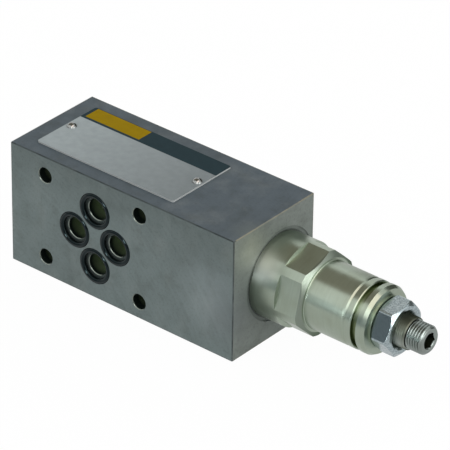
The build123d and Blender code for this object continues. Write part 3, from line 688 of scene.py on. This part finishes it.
def turned_metal(name, base, film, film_share, roughness, anisotropy, zones=(), rubs_and_sheen=()):
    """A turned and plated surface: fine marks round the axis, which draw its lights out along it.

    A zone is what zone() takes and the colour and added roughness there, such as a groove's thick film, or
    painted shade in a hollow.
    A rub is what spot() takes and a colour painted there: a painted highlight, or painted shade.
    """
    material, tree, place = new_material(name)
    clouds = patches(tree, place, 7, detail=4)
    share = add_node(tree, "MapRange", {"Value": clouds, **ramp(0.4, 0.7, 0.0, film_share)})
    colour = add_node(tree, "Mix", {"Factor": share, "A": tuple(base), "B": linear(film)}, data_type="RGBA")

    # Marks of the turning tool, which change along the axis and hardly around it
    marks = patches(tree, place, 0.5, stretch=(1.0, 0.06, 0.06))
    tone = add_node(tree, "MapRange", {"Value": marks, **ramp(*NOISE_SPAN, 0.96, 1.04)})
    colour = add_node(tree, "VectorMath", {0: colour, "Scale": tone}, operation="SCALE")
    smooth, rough = roughness * 0.94, roughness * 1.06
    wear = add_node(tree, "MapRange", {"Value": marks, **ramp(*NOISE_SPAN, smooth, rough)})
    edge = WHITE
    # A zone's colour also tints what the metal reflects there, so painted shade darkens the reflections too
    for start, end, radius, hex_colour, added in zones:
        here, zone_colour = zone(tree, place, start, end, radius), linear(hex_colour)
        colour = add_node(tree, "Mix", {"Factor": here, "A": colour, "B": zone_colour}, data_type="RGBA")
        edge = add_node(tree, "Mix", {"Factor": here, "A": edge, "B": zone_colour}, data_type="RGBA")
        wear = add_node(tree, "Math", {0: here, 1: added, 2: wear}, operation="MULTIPLY_ADD")
    for centre, reach, strength, hex_colour in rubs_and_sheen:
        here, metal = spot(tree, place, centre, reach, strength), linear(hex_colour)
        colour = add_node(tree, "Mix", {"Factor": here, "A": colour, "B": metal}, data_type="RGBA")
    look = {
        "Base Color": colour,
        "Specular Tint": edge,
        "Roughness": wear,
        "Metallic": 1.0,
        "Anisotropic": anisotropy,
        # The tangent runs round the axis, and a quarter turn draws the lights out along it
        "Anisotropic Rotation": 0.25,
        "Tangent": about_axis(tree, place)[0],
        "Normal": add_node(tree, "Bump", {"Height": marks, "Distance": mm(0.0009)}),
    }
    return completed(material, look)


def grained_metal(name, base, dull, roughness, grain_mm, pit_mm):
    """A bright metal surface with a fine even grain, which breaks its lights into sparkles."""
    material, tree, place = new_material(name)
    grain = patches(tree, place, grain_mm)
    share = add_node(tree, "MapRange", {"Value": grain, **ramp(0.38, 0.62)})
    smooth, rough = roughness * 0.8, roughness * 1.15
    look = {
        "Base Color": add_node(
            tree, "Mix", {"Factor": share, "A": tuple(base), "B": linear(dull)}, data_type="RGBA"
        ),
        "Metallic": 1.0,
        "Roughness": add_node(tree, "MapRange", {"Value": share, **ramp(0.0, 1.0, smooth, rough)}),
        "Normal": add_node(tree, "Bump", {"Height": grain, "Distance": mm(pit_mm)}),
    }
    return completed(material, look)


class VALVE_OT_finish_block(bpy.types.Operator):
    """Chamfers the mouths of the block's holes and gives it its milled steel"""

    bl_idname = "sandwich_valve.finish_block"
    bl_label = "Finish the block"

    def execute(self, context):
        block = reworked_copy("valve_body", "valve_body_finished", "valve")
        chamfer_mouths(block, settings().edges.mouth)
        shade(block, angle_deg=20)
        dress(block, milled_steel(settings().colours))
        return {"FINISHED"}


class VALVE_OT_finish_seals(bpy.types.Operator):
    """Gives the port seals and the inner seals their rubber"""

    bl_idname = "sandwich_valve.finish_seals"
    bl_label = "Finish the seals"

    def execute(self, context):
        rubber = seal_rubber(settings().colours)
        for name in SEALS:
            dress(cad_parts[name], rubber)
        return {"FINISHED"}


class VALVE_OT_finish_nameplate(bpy.types.Operator):
    """Prints the nameplate and polishes its drive pins"""

    bl_idname = "sandwich_valve.finish_nameplate"
    bl_label = "Finish the nameplate"

    def execute(self, context):
        colours = settings().colours
        dress(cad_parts["nameplate"], printed_plate(colours, settings().print_sizes))
        pins = grained_metal(
            "steel_pin_rolled_bright",
            colours.bright_steel,
            "8a8d8b",
            roughness=0.1,
            grain_mm=0.6,
            pit_mm=0.001,
        )
        for side in ("left", "right"):
            dress(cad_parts[f"nameplate_pin_{side}"], pins)
        return {"FINISHED"}


class VALVE_OT_finish_cap(bpy.types.Operator):
    """Breaks the adjuster cap's turned edges and gives it its yellow zinc"""

    bl_idname = "sandwich_valve.finish_cap"
    bl_label = "Finish the adjuster cap"

    def execute(self, context):
        colours = settings().colours
        cap = reworked_copy("adjuster_cap", "adjuster_cap_finished", "valve")
        break_edges(cap, settings().edges.cap)
        finish = turned_metal(
            "steel_turned_yellow_zinc",
            colours.yellow_zinc,
            "7a7a58",
            film_share=0.18,
            roughness=0.3,
            anisotropy=0.6,
            # Thick film in the ring groove, darkened further as painted shade, and painted shade on the
            # hexagon's nose
            zones=(
                (mm(97.3), mm(100.2), mm(11.1), "6a7556", 0.0),
                (mm(77.9), mm(79.1), mm(15), "8c968a", 0.08),
            ),
            # Painted highlights at the front of the collar and in the groove, and painted shade at the side
            # of the band
            rubs_and_sheen=(
                ((mm(62), AXIS_Y - mm(11.5), AXIS_Z + mm(9.3)), mm(8.5), 0.95, "f0f4ec"),
                ((mm(98.8), AXIS_Y - mm(7.8), AXIS_Z + mm(7.2)), mm(5), 0.8, "b4c0ac"),
                ((mm(100.4), AXIS_Y - mm(11.1), AXIS_Z + mm(5.2)), mm(4), 0.6, "5a645f"),
            ),
        )
        dress(cap, finish)
        return {"FINISHED"}


class VALVE_OT_finish_nut(bpy.types.Operator):
    """Softens the lock nut's edges and gives it its blue zinc"""

    bl_idname = "sandwich_valve.finish_nut"
    bl_label = "Finish the lock nut"

    def execute(self, context):
        colours = settings().colours
        nut = reworked_copy("lock_nut", "lock_nut_finished", "lock_nut")
        break_edges(nut, settings().edges.nut)
        finish = grained_metal(
            "steel_forged_blue_zinc", colours.blue_zinc, "93a2a6", roughness=0.22, grain_mm=0.4, pit_mm=0.009
        )
        dress(nut, finish)
        return {"FINISHED"}


class VALVE_OT_build_screw(bpy.types.Operator):
    """Models the adjusting screw with its two threads and its hexagon socket"""

    bl_idname = "sandwich_valve.build_screw"
    bl_label = "Build the adjusting screw"

    def execute(self, context):
        sizes = settings().screw
        outer_end = SCREW_HIGH.x
        front_start = outer_end - sizes.front_length
        shoulder = front_start - sizes.neck_length
        rear_start = shoulder - sizes.rear_length
        front_radius = sizes.front_major / 2
        neck_radius = sizes.neck_diameter / 2
        tip_radius = sizes.tip_diameter / 2
        margin = sizes.pitch

        # Each thread: its name, ends, radius, depth, pitch, crest's share of the pitch, and chamfer
        rods = []
        for name, start, end, radius, depth, pitch, crest_share, chamfer in (
            (
                "front", front_start, outer_end, front_radius,
                sizes.front_depth, sizes.pitch, 0.2, sizes.front_chamfer,
            ),
            (
                "rear", rear_start, shoulder, SCREW_RADIUS,
                sizes.rear_depth, sizes.rear_pitch, 0.6, sizes.shoulder_chamfer,
            ),
        ):
            rod = threaded_rod(f"screw_{name}", start, end, radius, depth, pitch, crest_share)
            trim = turned_piece(
                f"{name}_trim",
                [
                    (start - margin, radius + margin),
                    (end - chamfer - margin, radius + margin),
                    (end + margin, radius - chamfer - margin),
                ],
            )
            combine(rod, trim, "INTERSECT")
            rods.append(rod)

        root_radius = SCREW_RADIUS - sizes.rear_depth
        tip_end = SCREW_LOW.x + sizes.tip_length
        # The core reaches a little into both threads, so that they join
        overlap = margin / 2
        core = turned_piece(
            "adjusting_screw_threaded",
            [
                (SCREW_LOW.x, tip_radius),
                (tip_end, tip_radius),
                (tip_end + root_radius - tip_radius, root_radius),
                (rear_start + overlap, root_radius),
                (rear_start + overlap, neck_radius),
                (front_start + overlap, neck_radius),
            ],
        )
        for rod in reversed(rods):
            combine(core, rod, "UNION")

        socket_radius = sizes.socket_width / 2 / math.cos(math.pi / SOCKET_CORNERS)
        deselect_all()
        bpy.ops.mesh.primitive_cylinder_add(
            vertices=SOCKET_CORNERS,
            radius=socket_radius,
            depth=2 * sizes.socket_depth,
            location=(outer_end, AXIS_Y, AXIS_Z),
            rotation=(0, math.pi / 2, 0),
        )
        socket = bpy.context.view_layer.objects.active
        settle(socket, "socket")
        bpy.ops.transform.rotate(
            value=sizes.socket_angle, orient_axis="X", center_override=(outer_end, AXIS_Y, AXIS_Z)
        )
        settle(socket, "socket")
        combine(core, socket, "DIFFERENCE")
        mouth = turned_piece(
            "socket_mouth",
            [
                (outer_end - sizes.socket_chamfer, socket_radius - sizes.socket_chamfer),
                (outer_end + sizes.socket_chamfer, socket_radius + sizes.socket_chamfer),
            ],
        )
        combine(core, mouth, "DIFFERENCE")
        shade(core, angle_deg=32)
        colours = settings().colours
        finish = turned_metal(
            "steel_rolled_thread_oiled",
            colours.screw_steel,
            "6d7067",
            film_share=0.5,
            roughness=0.26,
            anisotropy=0.4,
            # Painted shade on the socket's walls and in the undercut, and on the worn rear thread
            zones=(
                (outer_end - mm(8), outer_end - sizes.socket_chamfer, mm(2.95), "23281f", 0.35),
                (SCREW_LOW.x, shoulder, SCREW_RADIUS, "6b7064", 0.18),
                (shoulder, front_start, SCREW_RADIUS, "2c312c", 0.2),
            ),
            # Painted shade on top of the rear thread, and a painted highlight at its side
            rubs_and_sheen=(
                ((mm(111.7), AXIS_Y - mm(1), AXIS_Z + mm(5.5)), mm(4.5), 0.7, "343a30"),
                ((mm(111.7), AXIS_Y - mm(5), AXIS_Z - mm(2)), mm(4.5), 0.8, "ccd2cc"),
            ),
        )
        dress(core, finish)
        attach(core, "adjusting_screw")
        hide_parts("adjusting_screw")
        return {"FINISHED"}


class VALVE_OT_finish_cartridge(bpy.types.Operator):
    """Gives the pieces inside the valve their finishes"""

    bl_idname = "sandwich_valve.finish_cartridge"
    bl_label = "Finish the inner pieces"

    def execute(self, context):
        colours = settings().colours
        ground = turned_metal(
            "steel_hardened_ground",
            colours.hardened,
            "7c7e7d",
            film_share=0.4,
            roughness=0.26,
            anisotropy=0.4,
        )
        for name in GROUND_PIECES:
            dress(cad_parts[name], ground)
        wire = grained_metal(
            "spring_wire_drawn", colours.spring, "55544f", roughness=0.36, grain_mm=0.8, pit_mm=0.004
        )
        # The spring is pressed together from both ends, and it is cut into a front half and a rear half
        low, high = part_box("pressure_spring")
        middle = (low.x + high.x) / 2
        travels = settings().spring
        for name, joint, travel, rear in (
            ("pressure_spring_front", "poppet_lift", travels.poppet_lift, False),
            ("pressure_spring_rear", "piston_travel", travels.piston_travel, True),
        ):
            half = reworked_copy("pressure_spring", name, "valve")
            cut_square(half, middle, rear)
            shade(half, angle_deg=40)
            dress(half, wire)
            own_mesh(half)
        # Machined fluoroplastic: waxy and slightly mottled
        plastic, tree, place = new_material("back_up_ring_machined_plastic")
        mottle, waxy = patches(tree, place, 0.8), tuple(colours.ring_plastic)
        colour = add_node(tree, "Mix", {"Factor": mottle, "A": waxy, "B": linear("d6d0bf")}, data_type="RGBA")
        completed(plastic, {"Base Color": colour, "Roughness": 0.42})
        for name in BACKUP_RINGS:
            dress(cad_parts[name], plastic)
        return {"FINISHED"}


def soft_light(name, location, target, size, power, shows_in_metal):
    """A square soft light, in the scene's metres and watts."""
    data = bpy.data.lights.new(name, "AREA")
    data.shape = "SQUARE"
    data.size = size
    data.energy = power
    light = bpy.data.objects.new(name, data)
    bpy.context.scene.collection.objects.link(light)
    light.location = location
    light.rotation_euler = (target - Vector(location)).to_track_quat("-Z", "Y").to_euler()
    light.visible_glossy = shows_in_metal


def reflection_card(name, centre, turn, size, colour, strength):
    """A panel that shows only in metal and rubber: a soft box where it is bright, a flag where dark."""
    deselect_all()
    bpy.ops.mesh.primitive_plane_add(size=1.0, location=centre, rotation=turn)
    panel = bpy.context.view_layer.objects.active
    panel.scale = (size[0], size[1], 1.0)
    settle(panel, name)
    material = bpy.data.materials.new(name)
    tree = bare_tree(material)
    glow = add_node(tree, "Emission", {"Color": linear(colour), "Strength": strength})
    add_node(tree, "OutputMaterial", {"Surface": glow})
    panel.data.materials.append(material)
    panel.visible_camera = False
    panel.visible_diffuse = False
    panel.visible_shadow = False
    panel.visible_transmission = False


def seen_directly(tree):
    """1 for rays from the camera and for those that metal or glass sends on, and 0 for the rest."""
    path = add_node(tree, "LightPath").outputs
    shown = add_node(tree, "Math", {0: path["Is Camera Ray"], 1: path["Is Glossy Ray"]}, operation="MAXIMUM")
    return add_node(tree, "Math", {0: shown, 1: path["Is Transmission Ray"]}, operation="MAXIMUM")


class VALVE_OT_build_stage(bpy.types.Operator):
    """Sets up the floor, the lights, the dark flags and the camera"""

    bl_idname = "sandwich_valve.build_stage"
    bl_label = "Build the stage"

    def execute(self, context):
        studio = settings().studio
        scene = context.scene
        scene.view_settings.view_transform = "Standard"
        middle_x, middle_y = (BLOCK_LOW.x + SCREW_HIGH.x) / 2, (BLOCK_LOW.y + BLOCK_HIGH.y) / 2
        middle = Vector((middle_x, middle_y, BLOCK_LOW.z))

        world = bpy.data.worlds.new("studio")
        scene.world = world
        tree = bare_tree(world)
        strength = add_node(tree, "MapRange", {"Value": seen_directly(tree), **ramp(0.0, 1.0, 0.6, 1.0)})
        backdrop = add_node(tree, "Background", {"Color": WHITE, "Strength": strength})
        add_node(tree, "OutputWorld", {"Surface": backdrop})

        deselect_all()
        bpy.ops.mesh.primitive_circle_add(
            vertices=96, radius=studio.floor_radius, fill_type="NGON", location=middle
        )
        floor = bpy.context.view_layer.objects.active
        settle(floor, "floor")
        paper = bpy.data.materials.new("white_paper")
        tree = bare_tree(paper)
        surface = add_node(tree, "BsdfDiffuse", {"Color": (0.82, 0.82, 0.82, 1.0)})
        in_camera = add_node(tree, "LightPath").outputs["Is Camera Ray"]
        strength = add_node(tree, "MapRange", {"Value": in_camera, **ramp(0.0, 1.0, 0.72, 1.01)})
        glow = add_node(tree, "Emission", {"Color": WHITE, "Strength": strength})
        share = add_node(tree, "MapRange", {"Value": seen_directly(tree), **ramp(0.0, 1.0, 0.0, 0.96)})
        mixed = add_node(tree, "MixShader", {0: share, 1: surface, 2: glow})
        add_node(tree, "OutputMaterial", {"Surface": mixed})
        floor.data.materials.append(paper)

        level, upright, endways = (0, 0, 0), (math.pi / 2, 0, 0), (0, math.pi / 2, 0)
        facing_camera = (math.pi / 2 - studio.elevation, 0, studio.azimuth)
        # Each card: its name, centre, turn, size, colour and strength
        for card in (
            ("overhead_flag", (-0.9, 0.15, 1.0), level, (2.3, 1.2), "8c867a", 1.0),
            ("overhead_box", (0.58, -0.36, 1.0), level, (0.66, 1.42), "ffeee6", 2.3),
            ("front_flag", (-0.4, -0.8, 0.05), upright, (3.2, 0.46), "5c6468", 1.0),
            ("rear_flag", (0.15, 0.8, 0.35), upright, (0.9, 0.8), "5a5d58", 1.0),
            ("seal_strip", (0.09, -0.76, 0.14), upright, (0.09, 0.2), "f4fbff", 34.0),
            ("camera_box", (0.62, -0.72, 0.6), facing_camera, (0.5, 0.5), "ffffff", 2.6),
            ("end_box", (1.0, 0.0, 0.42), endways, (0.4, 0.6), "ffffff", 2.5),
        ):
            reflection_card(*card)
        # Each light: its name, place, size, power and whether it shows in metal
        for name, place, size, power, shows_in_metal in (
            ("front_light", (-0.45, -1.0, 0.85), 0.8, studio.front_power, False),
            ("side_light", (1.1, 0.1, 0.25), 0.5, studio.side_power, True),
            ("rear_light", (-0.2, 1.1, 0.7), 0.8, studio.rear_power, False),
        ):
            soft_light(name, place, middle, size, power, shows_in_metal)

        camera = bpy.data.objects.new("camera", bpy.data.cameras.new("camera"))
        scene.collection.objects.link(camera)
        camera.data.sensor_width = 36
        camera.data.lens = studio.lens
        camera.data.clip_start = 0.01
        turn = Euler((math.pi / 2 - studio.elevation, 0, studio.azimuth)).to_matrix()
        turn = turn @ Matrix.Rotation(studio.roll, 3, "Z")
        camera.location = Vector(studio.target) + turn @ Vector((0, 0, studio.distance))
        camera.rotation_euler = turn.to_euler()
        scene.camera = camera
        return {"FINISHED"}


class SandwichValveSettings(bpy.types.PropertyGroup):
    """All that a user may change"""

    screw: bpy.props.PointerProperty(type=ValveScrewSizes)
    edges: bpy.props.PointerProperty(type=ValveEdgeSizes)
    spring: bpy.props.PointerProperty(type=ValveSpringSizes)
    print_sizes: bpy.props.PointerProperty(type=ValvePrintSizes)
    colours: bpy.props.PointerProperty(type=ValveColours)
    studio: bpy.props.PointerProperty(type=ValveStudio)


OPERATORS = (
    VALVE_OT_finish_block,
    VALVE_OT_finish_seals,
    VALVE_OT_finish_nameplate,
    VALVE_OT_finish_cap,
    VALVE_OT_finish_nut,
    VALVE_OT_build_screw,
    VALVE_OT_finish_cartridge,
    VALVE_OT_build_stage,
)


class VALVE_PT_finish(bpy.types.Panel):
    """Lists the valve's steps and their sizes"""

    bl_idname = "VALVE_PT_finish"
    bl_label = "Sandwich valve"
    bl_space_type = "VIEW_3D"
    bl_region_type = "UI"
    bl_category = "Valve"

    def draw(self, context):
        for operator in OPERATORS:
            self.layout.operator(operator.bl_idname)
        for group_name in SandwichValveSettings.__annotations__:
            group = getattr(settings(), group_name)
            box = self.layout.box()
            for name in type(group).__annotations__:
                box.prop(group, name)


CLASSES = (
    ValveScrewSizes,
    ValveEdgeSizes,
    ValveSpringSizes,
    ValvePrintSizes,
    ValveColours,
    ValveStudio,
    SandwichValveSettings,
    *OPERATORS,
    VALVE_PT_finish,
)


def register():
    for item in CLASSES:
        bpy.utils.register_class(item)
    bpy.types.Scene.sandwich_valve = bpy.props.PointerProperty(type=SandwichValveSettings)


def unregister():
    del bpy.types.Scene.sandwich_valve
    for item in reversed(CLASSES):
        bpy.utils.unregister_class(item)


def main():
    """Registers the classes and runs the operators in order."""
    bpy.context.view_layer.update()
    register()
    deselect_all()
    for operator in OPERATORS:
        group, name = operator.bl_idname.split(".")
        getattr(getattr(bpy.ops, group), name)()


if __name__ == "__main__":
    main()
